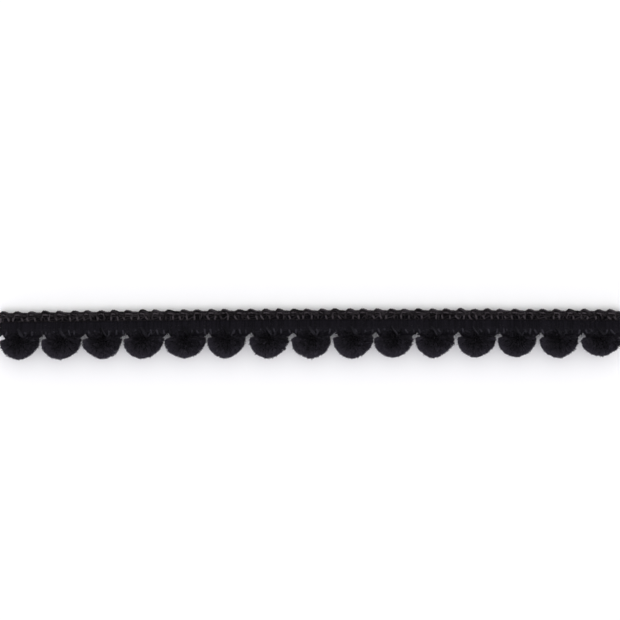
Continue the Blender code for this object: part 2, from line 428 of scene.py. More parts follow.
# Camera and stage. The dome's tones are at its foot, at its middle height and overhead.
FRAME_WIDTH = 156.76 * MM
FRAME_TARGET = Vector((-0.126 * MM, 6.05 * MM, 3.3 * MM))
LENS = 200.0
SENSOR = 36.0
FLOOR_SIDE = 3.0
FLOOR_HEIGHT = -0.05 * MM
DOME_STRENGTH = 1.0
DOME_LOW = 0.55
DOME_MIDDLE = 1.2
DOME_MIDDLE_AT = 0.75
DOME_OVERHEAD = 0.60
SOFT_BOX = (1.80, 1.75, 2.05)
SOFT_BOX_TOWARDS = Vector((-0.50, -0.77, 0.40)).normalized()
SOFT_BOX_STARTS = 0.80
SOFT_BOX_FULL = 0.97


def smooth_step(share):
    """0 to 1 with level ends."""
    share = np.clip(share, 0.0, 1.0)
    return share * share * (3 - 2 * share)


def bow(x):
    """How far the trim's line lies from the straight at x."""
    return -((x - BOW_CREST) ** 2) / (2 * BOW_RADIUS)


def read_tufts():
    """Place and size of each pompom, from the frame."""
    tufts = []
    for number in range(POMPOM_COUNT):
        name = f"pompom_{number + 1:02d}"
        low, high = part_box(name)
        middle = (low.x + high.x) / 2
        tufts.append(Tuft(name, middle, (high.x - low.x) / 2, low.y - bow(middle), high.z))
    return tufts


TUFTS = read_tufts()
MIDDLES = np.array([tuft.middle for tuft in TUFTS])


def underside(across):
    """Height of the braid's back."""
    return EDGE_LIFT * smooth_step((LEVEL_FROM - across) / LIFT_RUN)


def scallop_unevenness():
    """How far each scallop's arch is shifted, as a share of the scallop, and its share of the height."""
    chance = np.random.default_rng(SCALLOP_SEED)
    shifts = chance.normal(0.0, ARCH_SHIFT_SPREAD, SCALLOPS)
    heights = chance.normal(1.0, ARCH_HEIGHT_SPREAD, SCALLOPS)
    return shifts, heights


SCALLOP_SHIFTS, SCALLOP_HEIGHTS = scallop_unevenness()


def scalloped_edge(x):
    """The upper edge: a short arch on the left of each scallop, and a level stretch after it."""
    place = (x + LENGTH / 2) / SCALLOP_LENGTH
    number = np.clip(place.astype(int), 0, SCALLOPS - 1)
    phase = place - number - SCALLOP_SHIFTS[number]
    rise = smooth_step((phase - ARCH_STARTS) / ARCH_RISES_IN)
    fall = smooth_step((phase - ARCH_FALLS_FROM) / ARCH_FALLS_IN)
    return SCALLOP_VALLEY + SCALLOP_RISE * SCALLOP_HEIGHTS[number] * (rise * (1 - fall))


def lower_edge(x):
    """The lower edge, pulled down by the pompoms' ties, with a peak over each gap between pompoms."""
    distance = np.asarray(x)[..., None] - MIDDLES - GAP_PEAK
    share = np.abs(distance) / np.where(distance < 0, GAP_LEFT, GAP_RIGHT)
    return LOWER_EDGE - LOWER_EDGE_PULL * np.clip(share, 0, 1).min(axis=-1)


def on_braid(x, across, level):
    """Points at a level above the braid's back, in the trim's own line."""
    x, across, level = np.broadcast_arrays(x, across, level)
    return np.stack([x, across, underside(across) + level], axis=-1)


def bowed(points):
    """The points carried from the trim's own line to where it lies."""
    placed = np.array(points, float)
    placed[..., 1] += bow(placed[..., 0])
    return placed


def unit(vectors):
    """The vectors with length one."""
    length = np.linalg.norm(vectors, axis=-1, keepdims=True)
    return vectors / np.maximum(length, 1e-12)


def curve_through(knots, count):
    """Smooth lines of count stations through the knots of each strand."""
    knots = np.asarray(knots, float)
    first = 2 * knots[:, :1] - knots[:, 1:2]
    last = 2 * knots[:, -1:] - knots[:, -2:-1]
    padded = np.concatenate([first, knots, last], axis=1)
    spans = knots.shape[1] - 1
    place = np.linspace(0, spans, count)
    span = np.minimum(place.astype(int), spans - 1)
    t = (place - span)[None, :, None]
    a, b, c, d = (padded[:, span + step] for step in range(4))
    bend = 2 * a - 5 * b + 4 * c - d
    twist = 3 * b - a - 3 * c + d
    return 0.5 * (2 * b + (c - a) * t + bend * t * t + twist * t * t * t)


def line_frames(lines):
    """Normals and binormals along each line, with no twist of their own."""
    tangents = unit(np.gradient(lines, axis=1))
    upright = np.abs(tangents[:, 0, 2:3]) > 0.8
    carried = np.where(upright, np.array([[1.0, 0.0, 0.0]]), np.array([[0.0, 0.0, 1.0]]))
    normals = np.empty_like(lines)
    for station in range(lines.shape[1]):
        tangent = tangents[:, station]
        carried = unit(carried - tangent * (carried * tangent).sum(-1, keepdims=True))
        normals[:, station] = carried
    return normals, np.cross(tangents, normals)


def run_along(lines):
    """How far each station lies along its line."""
    step = np.linalg.norm(np.diff(lines, axis=1), axis=2)
    return np.concatenate([np.zeros((len(lines), 1)), np.cumsum(step, axis=1)], axis=1)


def plied(lines, offset, plies=2):
    """Each line as so many plies wound round it."""
    normals, binormals = line_frames(lines)
    run = run_along(lines)
    wound = []
    for ply in range(plies):
        angle = (2 * math.pi * (run / PLY_TWIST + ply / plies))[:, :, None]
        wound.append(lines + offset * (normals * np.cos(angle) + binormals * np.sin(angle)))
    return np.concatenate(wound)


def tubes(lines, radius, sides, tone):
    """Closed tubes along lines (strand, station, point); tone is one value a strand or a station."""
    lines = np.asarray(lines, float)
    count, stations = lines.shape[:2]
    normals, binormals = line_frames(lines)
    angle = np.arange(sides) / sides * 2 * math.pi
    cosine = np.cos(angle)[:, None]
    sine = np.sin(angle)[:, None]
    spoke = normals[:, :, None] * cosine + binormals[:, :, None] * sine
    points = lines[:, :, None] + spoke * radius
    start = np.arange(count)[:, None, None] * stations * sides
    ring = start + np.arange(stations)[None, :, None] * sides + np.arange(sides)
    after = np.roll(ring, -1, axis=2)
    walls = np.stack([ring[:, :-1], after[:, :-1], after[:, 1:], ring[:, 1:]], axis=-1)
    caps = np.concatenate([ring[:, 0, ::-1], ring[:, -1]])
    run = run_along(lines) / MM
    shift = YARN_SHIFT * np.arange(count)[:, None, None]
    turned = angle + 2 * math.pi * YARN_TURNS_A_MM * run[:, :, None]
    along = np.broadcast_to(run[:, :, None] + shift, turned.shape)
    yarn = np.stack([along, np.cos(turned), np.sin(turned)], axis=-1)
    tone = np.broadcast_to(np.asarray(tone, float), (count, stations))
    faces = [walls.reshape(-1, 4), caps]
    return Strands(points.reshape(-1, 3), faces, yarn.reshape(-1, 3), np.repeat(tone, sides))


def spun(lines, yarn, chance, sides=YARN_SIDES, shade=1.0, painted_light=0.0):
    """A yarn along each line, with one tone for all its plies, times a painted shade and plus a painted
    light along it.
    """
    tone = chance.uniform(yarn.dark, yarn.light, len(lines))
    if yarn.offset:
        lines = plied(lines, yarn.offset)
        tone = np.tile(tone, 2)
    return tubes(lines, yarn.radius, sides, tone[:, None] * shade + painted_light)


def cord(across, level, yarn, chance, shade=1.0):
    """A two-ply cord along the whole trim; across, level and the painted shade on it follow the stations of
    along_trim.
    """
    line = on_braid(along_trim(CORD_STEP), across, level)[None]
    patches = curve_through(chance.uniform(yarn.dark, yarn.light, (2, CORD_PATCHES, 1)), line.shape[1])
    return tubes(plied(line, yarn.offset), yarn.radius, YARN_SIDES, shade * patches[:, :, 0])


def cut_fibres(roots, tips, radius, tone, light):
    """Short three-sided fibres with painted light that grows towards their blunt ends, whose cut faces are
    darkened by painted shade.
    """
    count = len(roots)
    normals, binormals = line_frames(np.stack([roots, tips], axis=1))
    turn = (tone * 2 * math.pi)[:, None] + np.arange(3) * 2 * math.pi / 3
    spoke = normals[:, :1] * np.cos(turn)[:, :, None] + binormals[:, :1] * np.sin(turn)[:, :, None]
    spoke = spoke * radius[:, None, None]
    end = tips[:, None] + FIBRE_NARROWS * spoke
    points = np.concatenate([roots[:, None] + spoke, end, end], axis=1)
    base = np.arange(count)[:, None, None] * 9
    walls = base + np.array([[0, 1, 4, 3], [1, 2, 5, 4], [2, 0, 3, 5]])
    cuts = base[:, 0] + np.array([6, 7, 8])
    # The first value is painted light along the fibre, dark at the root, and painted shade on the cut ends
    yarn = np.zeros((count, 9, 3))
    yarn[:, 3:6, 0] = light[:, None]
    yarn[:, 6:, 0] = CUT_SHADE * light[:, None]
    yarn[:, :, 1] = tone[:, None]
    faces = [walls.reshape(-1, 4), cuts]
    return Strands(points.reshape(-1, 3), faces, yarn.reshape(-1, 3), np.repeat(tone, 9))


def add_piece(name, batches, material):
    """One mesh of all the batches, bowed with the trim and riding on it."""
    start = 0
    corners = []
    sizes = []
    for batch in batches:
        for faces in batch.faces:
            corners.append((faces + start).ravel())
            sizes.append(np.full(len(faces), faces.shape[1]))
        start += len(batch.points)
    points = bowed(np.concatenate([batch.points for batch in batches]))
    yarn = np.concatenate([batch.yarn for batch in batches])
    tones = np.concatenate([batch.tone for batch in batches])
    corners = np.concatenate(corners)
    sizes = np.concatenate(sizes)
    mesh = bpy.data.meshes.new(name)
    mesh.vertices.add(len(points))
    mesh.vertices.foreach_set("co", points.astype(np.float32).ravel())
    mesh.loops.add(len(corners))
    mesh.loops.foreach_set("vertex_index", corners.astype(np.int32))
    mesh.polygons.add(len(sizes))
    starts = np.concatenate([[0], np.cumsum(sizes)[:-1]])
    mesh.polygons.foreach_set("loop_start", starts.astype(np.int32))
    mesh.update(calc_edges=True)
    mesh.validate()
    place_in_yarn = mesh.attributes.new("yarn", "FLOAT_VECTOR", "POINT")
    place_in_yarn.data.foreach_set("vector", yarn.astype(np.float32).ravel())
    own_tone = mesh.attributes.new("tone", "FLOAT", "POINT")
    own_tone.data.foreach_set("value", tones.astype(np.float32))
    mesh.shade_smooth()
    mesh.materials.append(material)
    piece = bpy.data.objects.new(name, mesh)
    bpy.context.scene.collection.objects.link(piece)
    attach(piece, "root")
    return piece


def new_material(name):
    """A material with its node tree and shader."""
    material = bpy.data.materials.new(name)
    material.use_nodes = True
    tree = material.node_tree
    return material, tree, tree.nodes["Principled BSDF"]


def attribute_node(tree, name):
    """Reads one of the pieces' own values."""
    node = tree.nodes.new("ShaderNodeAttribute")
    node.attribute_name = name
    return node


def weighted_sum(tree, value, weight, rest):
    """value times weight, plus rest."""
    node = tree.nodes.new("ShaderNodeMath")
    node.operation = "MULTIPLY_ADD"
    node.inputs[1].default_value = weight
    tree.links.new(value, node.inputs[0])
    tree.links.new(rest, node.inputs[2])
    return node.outputs["Value"]


def colour_ramp(tree, factor, stops):
    """A ramp through (place, colour) stops."""
    ramp = tree.nodes.new("ShaderNodeValToRGB")
    tree.links.new(factor, ramp.inputs["Fac"])
    elements = ramp.color_ramp.elements
    while len(elements) < len(stops):
        elements.new(0.5)
    for element, (place, colour) in zip(elements, stops):
        element.position = place
        element.color = (*colour, 1.0)
    return ramp.outputs["Color"]


def grey(level):
    """A colour with three equal channels."""
    return (level, level, level)


def yarn_material(name, looks):
    """Twisted yarn: fine fibres run along each strand, and lighter strands are smoother."""
    dark_at = 0.2
    light_at = 25 / 26
    material, tree, shader = new_material(name)
    yarn = attribute_node(tree, "yarn")
    tone = attribute_node(tree, "tone")
    stretch = tree.nodes.new("ShaderNodeVectorMath")
    stretch.operation = "MULTIPLY"
    stretch.inputs[1].default_value = (0.9, 3.2, 3.2)
    tree.links.new(yarn.outputs["Vector"], stretch.inputs[0])
    fibres = tree.nodes.new("ShaderNodeTexNoise")
    fibres.inputs["Scale"].default_value = 1.6
    fibres.inputs["Detail"].default_value = 4.0
    fibres.inputs["Roughness"].default_value = 0.6
    tree.links.new(stretch.outputs["Vector"], fibres.inputs["Vector"])
    shade = weighted_sum(tree, fibres.outputs["Fac"], 0.5, tone.outputs["Fac"])
    colour = colour_ramp(tree, shade, ((dark_at, looks.dark), (light_at, looks.light)))
    tree.links.new(colour, shader.inputs["Base Color"])
    roughness = colour_ramp(tree, shade, ((dark_at, grey(looks.rough)), (light_at, grey(looks.smooth))))
    tree.links.new(roughness, shader.inputs["Roughness"])
    bump = tree.nodes.new("ShaderNodeBump")
    bump.inputs["Strength"].default_value = looks.relief
    bump.inputs["Distance"].default_value = 0.05 * MM
    tree.links.new(fibres.outputs["Fac"], bump.inputs["Height"])
    tree.links.new(bump.outputs["Normal"], shader.inputs["Normal"])
    shader.inputs["Specular IOR Level"].default_value = looks.gloss
    shader.inputs["Sheen Weight"].default_value = looks.sheen
    shader.inputs["Sheen Roughness"].default_value = 0.4
    return material


def border_yarn():
    """Shiny yarn of the scalloped border, a little brownish."""
    dark = (0.0022, 0.0013, 0.0019)
    light = (0.068, 0.0590, 0.0665)
    looks = Looks(dark, light, rough=0.55, smooth=0.36, gloss=0.12, sheen=0.0, relief=0.7)
    return yarn_material("border_yarn", looks)


def weft_yarn():
    """Fine dull yarn of the middle band, a little bluish."""
    dark = (0.0025, 0.0021, 0.0034)
    light = (0.0112, 0.0098, 0.0148)
    looks = Looks(dark, light, rough=0.75, smooth=0.65, gloss=0.09, sheen=0.02, relief=0.5)
    return yarn_material("weft_yarn", looks)


def edge_yarn():
    """Yarn of the edge stitches and ties."""
    dark = (0.0014, 0.0012, 0.0018)
    light = (0.045, 0.0425, 0.0545)
    looks = Looks(dark, light, rough=0.55, smooth=0.40, gloss=0.08, sheen=0.0, relief=0.7)
    return yarn_material("edge_yarn", looks)


def pile_material():
    """Cut pile: dark at the roots and a little lighter at the ends, as painted shade and light along each
    fibre, each fibre with its own tone.
    """
    # The root colour is painted shade deep in the pile
    root = (0.0018, 0.0015, 0.0026)
    middle = (0.0072, 0.0064, 0.0095)
    end = (0.072, 0.0660, 0.0870)
    material, tree, shader = new_material("cut_pile")
    yarn = attribute_node(tree, "yarn")
    split = tree.nodes.new("ShaderNodeSeparateXYZ")
    tree.links.new(yarn.outputs["Vector"], split.inputs["Vector"])
    shade = weighted_sum(tree, split.outputs["Y"], 0.25, split.outputs["X"])
    colours = colour_ramp(tree, shade, ((0.0, root), (0.5, middle), (1.0, end)))
    tree.links.new(colours, shader.inputs["Base Color"])
    roughness = colour_ramp(tree, shade, ((0.3, grey(0.70)), (1.0, grey(0.42))))
    tree.links.new(roughness, shader.inputs["Roughness"])
    shader.inputs["Specular IOR Level"].default_value = 0.09
    shader.inputs["Sheen Weight"].default_value = 0.02
    shader.inputs["Sheen Roughness"].default_value = 0.5
    return material


def ball_directions(count, chance):
    """Directions spread evenly over a ball, each a little off its place."""
    place = np.arange(count) + 0.5
    height = 1 - 2 * place / count
    ring = np.sqrt(1 - height * height)
    turn = place * math.pi * (3 - math.sqrt(5))
    even = np.stack([ring * np.cos(turn), ring * np.sin(turn), height], axis=1)
    spacing = math.sqrt(4 * math.pi / count)
    return unit(even + chance.normal(0, DIRECTION_JITTER * spacing, even.shape))


def pile_reach(directions):
    """How full the pompom is in these directions: less where the tie goes in, and at its left shoulder."""
    spread = np.arccos(np.clip(directions @ unit(HOLLOW_TOWARDS), -1, 1))
    hollow = HOLLOW_DEPTH * np.exp(-((spread / HOLLOW_SPREAD) ** 2))
    turn = np.arctan2(directions[:, 1], directions[:, 0])
    notch = NOTCH_DEPTH * np.exp(-(((turn - NOTCH_TURN) / NOTCH_SPREAD) ** 2))
    return PILE_FULLNESS * (1 - hollow) * (1 - notch)


def own_form(chance):
    """How much fuller or leaner one pompom is round its rim: two strengths and two turns."""
    strengths = chance.normal(0, PILE_OWN_FORM, 2)
    turns = chance.uniform(0, 2 * math.pi, 2)
    return strengths, turns


def formed(directions, form):
    """The reach in these directions of a pompom with its own form."""
    turn = np.arctan2(directions[:, 1], directions[:, 0])
    strengths, turns = form
    waves = strengths[0] * np.sin(2 * turn + turns[0]) + strengths[1] * np.sin(3 * turn + turns[1])
    return pile_reach(directions) * (1 + waves * (1 - directions[:, 2] ** 2))


def tuft_surface(directions, reach, tuft):
    """Points of the pompom's trimmed form in these directions."""
    rise = directions[:, 1]
    level = np.maximum(1 - rise * rise, PILE_LEAST_LEVEL)
    left = directions[:, 0] < 0
    above = np.where(left, PILE_TAPER_LEFT, PILE_TAPER_RIGHT)
    below = np.where(left, PILE_TAPER_BELOW, PILE_TAPER_BELOW_RIGHT)
    fill = np.where(left, 1.0, PILE_RIGHT) * level ** np.where(rise < 0, below, above)
    skew = PILE_SKEW * smooth_step(-rise / PILE_SKEW_RUN)
    hang = PILE_MIDDLE - tuft.foot
    x = directions[:, 0] * tuft.half_width * fill + skew
    y = rise * np.where(rise < 0, hang, PILE_RISE)
    z = directions[:, 2] * np.where(directions[:, 2] < 0, PILE_UNDER, tuft.top - PILE_HEIGHT)
    return np.stack([x, y, z], axis=1) * reach[:, None] + np.array((0.0, PILE_MIDDLE, PILE_HEIGHT))


def barred(points, tuft, slack):
    """True where the braid, the floor or the space over the braid leaves a pompom no room."""
    x, across, height = points[..., 0], points[..., 1], points[..., 2]
    edge = lower_edge(x + tuft.middle)
    lobe = smooth_step((LOBE_ENDS_AT - x) / (LOBE_ENDS_AT - LOBE_FULL_AT))
    front_limit = edge + FRONT_OVERLAP + lobe * (FRONT_LOBE_TOP - edge) + slack
    back = underside(across)
    front = back + BRAID_THICKNESS
    in_braid = (across > edge) & (height > back) & (height < front)
    over = (height >= front) & (across > front_limit)
    behind = (height <= back) & (across > BACK_LOBE_TOP + slack)
    return in_braid | over | behind | (height < FLOOR_CLEARANCE)


def clear_share(roots, tips, tuft, chance):
    """How much of each fibre, from its root, stays clear of the braid and the floor."""
    slack = chance.normal(0, OVERLAP_SPREAD, len(roots))
    kept = np.ones(len(roots))
    for share in np.linspace(1.0, 0.1, CLEAR_STEPS):
        points = roots + (tips - roots) * share
        kept = np.where(barred(points, tuft, slack), share - CLEAR_STEP, kept)
    return kept


def rooted(tips, share, chance):
    """Where the fibres to these tips start, this share of the way from the tie."""
    return TIE_POINT + (tips - TIE_POINT) * share + chance.normal(0, FIBRE_JITTER, tips.shape)


def rim_light_share(directions):
    """How much painted rim light a fibre's end gets: none on top and at the braid, more round the rim, most
    low on the left and below.
    """
    rim = smooth_step((RIM_LIGHT_FROM - directions[:, 2]) / RIM_LIGHT_RANGE)
    hanging = RIM_LIGHT_MIDDLE - RIM_LIGHT_LEFT * directions[:, 0] - RIM_LIGHT_BELOW * directions[:, 1]
    return rim * np.clip(hanging, 0, RIM_LIGHT_MOST)


def placed_at(strands, tuft):
    """The strands moved from a pompom's own middle to its place along the trim."""
    return strands._replace(points=strands.points + np.array((tuft.middle, 0.0, 0.0)))


def pile_core(tuft, form, chance):
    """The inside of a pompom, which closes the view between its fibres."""
    polar = np.linspace(0, math.pi, CORE_ROWS + 2)[1:-1, None]
    turn = np.arange(CORE_COLUMNS) / CORE_COLUMNS * 2 * math.pi
    across = np.sin(polar) * np.sin(turn)
    rings = np.stack([np.sin(polar) * np.cos(turn), across, np.cos(polar) + 0 * turn], axis=-1)
    directions = np.concatenate([rings.reshape(-1, 3), [[0, 0, 1.0], [0, 0, -1.0]]])
    uneven = chance.normal(0, CORE_UNEVEN, len(directions))
    reach = CORE_REACH * formed(directions, form) * (1 + uneven)
    points = tuft_surface(directions, reach, tuft)
    rise = points[:, 1] - PILE_MIDDLE
    points[:, 1] = PILE_MIDDLE + np.where(rise > 0, rise * CORE_TOP_SHARE, rise)
    points[:, 2] = np.maximum(points[:, 2], CORE_FOOT)
    count = CORE_ROWS * CORE_COLUMNS
    index = np.arange(count).reshape(CORE_ROWS, CORE_COLUMNS)
    after = np.roll(index, -1, axis=1)
    walls = np.stack([index[:-1], index[1:], after[1:], after[:-1]], axis=-1).reshape(-1, 4)
    top = np.stack([index[0], after[0], np.full(CORE_COLUMNS, count)], axis=-1)
    foot = np.stack([after[-1], index[-1], np.full(CORE_COLUMNS, count + 1)], axis=-1)
    # With its fibre values at zero the inside takes the pile's root colour, painted shade of the pile's
    # depth
    return Strands(points, [walls, top, foot], np.zeros((len(points), 3)), np.zeros(len(points)))


def clumped_directions(chance):
    """Directions of a pompom's fibres, drawn together in clumps, and the clump that each belongs to."""
    directions = ball_directions(FIBRES, chance)
    clumps = ball_directions(CLUMPS, chance)
    nearest = np.argmax(directions @ clumps.T, axis=1)
    return unit(directions + CLUMP_PULL * (clumps[nearest] - directions)), nearest


def fibre_tips(directions, nearest, form, tuft, chance):
    """Where the fibres end: at the trimmed form, cut a little unevenly, with a few that stray past it."""
    uneven = chance.normal(0, CLUMP_UNEVEN, CLUMPS)[nearest] + chance.normal(0, FIBRE_UNEVEN, FIBRES)
    uneven = uneven * (1 + RAGGED_RIGHT * np.clip(directions[:, 0], 0, 1))
    stray = np.where(chance.uniform(0, 1, FIBRES) < STRAY_SHARE, STRAY_REACH, 0.0)
    tips = tuft_surface(directions, formed(directions, form) * (1 + uneven + stray), tuft)
    return tips + chance.normal(0, FIBRE_JITTER, tips.shape)


def shown_fibres(tips, tuft, chance):
    """Roots and ends of the fibres, cut off before the braid and the floor, and which of them are left."""
    roots = rooted(tips, FIBRE_ROOT, chance)
    kept = clear_share(roots, tips, tuft, chance)
    short = (kept <= FIBRE_LEAST) & (np.arange(FIBRES) % SHORT_EVERY == 0)
    roots = np.where(short[:, None], rooted(tips, SHORT_ROOT, chance), roots)
    kept = np.where(short, clear_share(roots, tips, tuft, chance), kept)
    shown = kept > np.where(short, SHORT_LEAST, FIBRE_LEAST)
    roots = roots[shown]
    tips = roots + (tips[shown] - roots) * kept[shown, None]
    tips[:, 2] = np.maximum(tips[:, 2], 0.0)
    return roots, tips, shown


def add_pompom(tuft, number, material):
    """Cut fibres that fan from the tie to the trimmed form, in soft clumps."""
    chance = np.random.default_rng(POMPOM_SEED + number)
    form = own_form(chance)
    directions, nearest = clumped_directions(chance)
    tips = fibre_tips(directions, nearest, form, tuft, chance)
    roots, tips, shown = shown_fibres(tips, tuft, chance)
    of_clump = TONE_OF_CLUMPS * chance.uniform(0, 1, CLUMPS)[nearest] ** 2
    of_fibre = TONE_OF_FIBRES * chance.uniform(0, 1, FIBRES)
    # A few thicker fibres are smoother and lighter: the smoothness is real, the lighter colour a painted
    # glint
    painted_glint = chance.uniform(0, 1, FIBRES) < PAINTED_GLINT_SHARE
    tone = TONE_LEAST + of_clump + of_fibre + PAINTED_GLINT_TONE * painted_glint
    # Painted light at each fibre's end, more round the rim
    light = TIP_PAINTED_LIGHT + RIM_PAINTED_LIGHT * rim_light_share(directions)
    radius = FIBRE_RADIUS * (chance.uniform(*FIBRE_THICKNESS, FIBRES) + GLINT_FIBRE_THICKER * painted_glint)
    pile = cut_fibres(roots, tips, radius[shown], tone[shown], light[shown])
    batches = [placed_at(pile, tuft), placed_at(pile_core(tuft, form, chance), tuft)]
    piece = add_piece(f"pile_{number + 1:02d}", batches, material)
    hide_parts(tuft.name)


def along_trim(step):
    """Even stations of x from one cut end to the other."""
    return np.linspace(-LENGTH / 2, LENGTH / 2, int(round(LENGTH / step)) + 1)


def within_trim(x):
    """x held inside the cut ends."""
    return np.clip(x, -LENGTH / 2 + END_MARGIN, LENGTH / 2 - END_MARGIN)


def stitch_starts(count, length):
    """Where each of the stitches or scallops begins, as a column."""
    return (np.arange(count) * length - LENGTH / 2)[:, None]


def float_places(a_stitch):
    """The middle of each float, so many to a stitch, as a column."""
    return (np.arange(STITCHES * a_stitch) + 0.5)[:, None] * STITCH_LENGTH / a_stitch - LENGTH / 2


def add_ground(material):
    """The braid's inner layer of packed yarn, between the stitches of its front and back."""
    x = along_trim(GROUND_STEP)
    low = lower_edge(x) + GROUND_INSET_BELOW
    high = scalloped_edge(x) - GROUND_INSET_ABOVE
    shares = np.concatenate([np.linspace(0, 1, GROUND_POINTS), np.linspace(1, 0, GROUND_POINTS)])
    front = [GROUND_EDGE_FRONT] + [GROUND_FRONT] * (GROUND_POINTS - 2) + [GROUND_EDGE_FRONT]
    back = [GROUND_EDGE_BACK] + [GROUND_BACK] * (GROUND_POINTS - 2) + [GROUND_EDGE_BACK]
    levels = np.array(front + back) * MM
    across = low[:, None] + (high - low)[:, None] * shares
    points = on_braid(x[:, None], across, levels)
    ring = np.arange(across.size).reshape(across.shape)
    after = np.roll(ring, -1, axis=1)
    walls = np.stack([ring[:-1], ring[1:], after[1:], after[:-1]], axis=-1).reshape(-1, 4)
    caps = np.stack([ring[0], ring[-1, ::-1]])
    yarn = np.stack([points[..., 1] / MM, points[..., 0] / MM, 0 * across], axis=-1)
    ground = Strands(points.reshape(-1, 3), [walls, caps], yarn.reshape(-1, 3), np.zeros(across.size))
    piece = add_piece("braid_ground", [ground], material)
    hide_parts("header")


def add_weft(material):
    """Fine floats that run across the braid side by side, and make its smooth middle band."""
    chance = np.random.default_rng(WEFT_SEED)
    x = float_places(FLOATS_A_STITCH)
    across, level = (np.array(WEFT_FLOAT) * MM).T
    across = np.repeat(across[None], len(x), axis=0)
    across[:, :1] += lower_edge(x)
    lean = chance.normal(0, FLOAT_LEAN, across.shape)
    lift = chance.normal(0, FLOAT_LIFT, across.shape)
    lines = curve_through(on_braid(x + lean, across, level + lift), FLOAT_STATIONS)
    # Painted light on each float's lower end
    painted_edge_light = WEFT_PAINTED_LIGHT * smooth_step(np.linspace(*WEFT_PAINTED_LIGHT_RUN, FLOAT_STATIONS))
    floats = spun(lines, WEFT_FLOAT_YARN, chance, painted_light=painted_edge_light)
    add_piece("weft_floats", [floats], material)


def back_stitches(row, chance):
    """One row of short stitches over the back's floats."""
    along, sunk = np.array(BACK_STITCH).T
    side = row + chance.normal(0, BACK_ROW_UNEVEN, (STITCHES, 1))
    x = stitch_starts(STITCHES, STITCH_LENGTH) + along * STITCH_LENGTH
    lines = curve_through(on_braid(x, side, sunk * MM), BACK_STITCH_STATIONS)
    return spun(lines, BACK_STITCH_YARN, chance)


def add_back(material):
    """The back: slanting floats from edge to edge, and two rows of short stitches over them."""
    chance = np.random.default_rng(BACK_SEED)
    x = float_places(BACK_FLOATS_A_STITCH)
    share = np.linspace(0, 1, BACK_FLOAT_KNOTS)
    low = lower_edge(x) + BACK_INSET_BELOW
    high = scalloped_edge(x) - BACK_INSET_ABOVE
    slant = np.where(np.arange(len(x)) % 2, BACK_FLOAT_SLANT, -BACK_FLOAT_SLANT)[:, None] * MM
    lean = slant * (share - 0.5) + chance.normal(0, BACK_FLOAT_LEAN, (len(x), BACK_FLOAT_KNOTS))
    across = low + (high - low) * share
    lines = curve_through(on_braid(x + lean, across, BACK_FLOAT_LEVEL), FLOAT_STATIONS)
    batches = [spun(lines, BACK_FLOAT_YARN, chance)]
    for row in BACK_ROWS:
        batches.append(back_stitches(row, chance))
    for batch in batches:
        batch.points[:, 2] = np.maximum(batch.points[:, 2], 0.0)
    add_piece("back_floats", batches, material)


def stitch_lines(row, shape, chance):
    """One strand for each stitch of a row."""
    place, height, lift = np.array(shape).T
    middle = place.mean()
    lean = 1 + chance.normal(0, UNEVEN_LEAN * row.uneven, (STITCHES, 1))
    shift = chance.normal(0, UNEVEN_SHIFT * row.uneven, (STITCHES, 1))
    along = middle + row.phase + shift + (place - middle) * lean
    x = within_trim(stitch_starts(STITCHES, STITCH_LENGTH) + along * STITCH_LENGTH)
    stretch = 1 + chance.normal(0, UNEVEN_STRETCH * row.uneven, (STITCHES, 1))
    across = row.low + (row.high - row.low) * (0.5 + (height - 0.5) * stretch)
    level = row.level + lift * MM + chance.normal(0, UNEVEN_LEVEL, (STITCHES, 1))
    return curve_through(on_braid(x, across, level), STITCH_STATIONS)


def stitch_row(row, chance):
    """A row of stitches: plied bars with a painted highlight at their crest, with thinner, darker returns
    between them.
    """
    bars = stitch_lines(row, STITCH_BAR, chance)
    returns = stitch_lines(row, STITCH_RETURN, chance)
    painted_crest = np.sin(np.linspace(0, math.pi, bars.shape[1])) ** BAR_PAINTED_HIGHLIGHT_POWER
    return [spun(bars, BAR_YARN, chance, shade=painted_crest), spun(returns, RETURN_YARN, chance)]


def arch_lines(inset, width, chance):
    """One strand of every scallop's arch, inset from the outermost and drawn in towards its left."""
    place, below, level = np.array(ARCH).T
    start = stitch_starts(SCALLOPS, SCALLOP_LENGTH)
    x = start + (SCALLOP_SHIFTS[:, None] + ARCH_LEFT + (place - ARCH_LEFT) * width) * SCALLOP_LENGTH
    x = within_trim(x + chance.normal(0, ARCH_UNEVEN, x.shape))
    edge = scalloped_edge(np.clip(x, start, start + 0.99 * SCALLOP_LENGTH))
    across = edge - below * MM - inset * (below < 1.0)
    height = level * MM + chance.normal(0, ARCH_LEVEL_UNEVEN, x.shape)
    return curve_through(on_braid(x, across, height), ARCH_STATIONS)


def crossing_lines(chance):
    """Slanting strands that cross the border's cords, two to a scallop."""
    lines = []
    share = np.linspace(0, 1, CROSSING_KNOTS)
    for phase, slant in CROSSINGS:
        lean = slant + chance.normal(0, CROSSING_UNEVEN, (SCALLOPS, 1))
        x = stitch_starts(SCALLOPS, SCALLOP_LENGTH) + (phase + lean * share) * SCALLOP_LENGTH
        across = (CROSSING_FOOT + CROSSING_HEIGHT * share) * MM
        level = (CROSSING_LEVEL + CROSSING_SWELL * np.sin(share * math.pi)) * MM
        lines.append(curve_through(on_braid(within_trim(x), across, level), CROSSING_STATIONS))
    return np.concatenate(lines)


